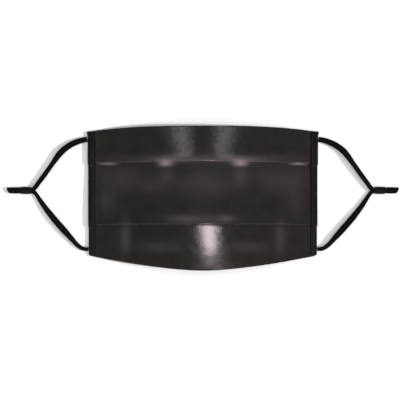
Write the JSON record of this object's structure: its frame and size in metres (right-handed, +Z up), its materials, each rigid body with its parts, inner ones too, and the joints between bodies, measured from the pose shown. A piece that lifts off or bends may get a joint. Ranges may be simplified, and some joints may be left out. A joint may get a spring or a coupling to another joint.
{
  "type": "cloth face mask",
  "caption": "Pleated satin face mask with stitched side hems, flat elastic ear loops and soft sliding cord locks, lying open side down.",
  "frame": {"origin": "on the surface that the mask lies on, under the middle of the box round the panel and its side hems", "axes": "+X along the mask towards its right ear loop as seen from above, +Y towards the nose edge, +Z up, out of the mask's outer face"},
  "size_m": [0.3068, 0.1121, 0.0253],
  "materials": {
    "satin": "black woven satin with a soft lengthwise sheen",
    "hem_cloth": "the same black cloth, folded, pressed and stitched",
    "elastic": "soft ribbed black knitted elastic, matt",
    "silicone": "soft moulded black silicone, matt"
  },
  "bodies": {
    "root": {"pleated_panel": "satin", "side_hem_left": "hem_cloth", "side_hem_right": "hem_cloth", "ear_elastic_left": "elastic", "ear_elastic_right": "elastic", "cord_lock_left": "silicone", "cord_lock_right": "silicone"}
  },
  "joints": []
}
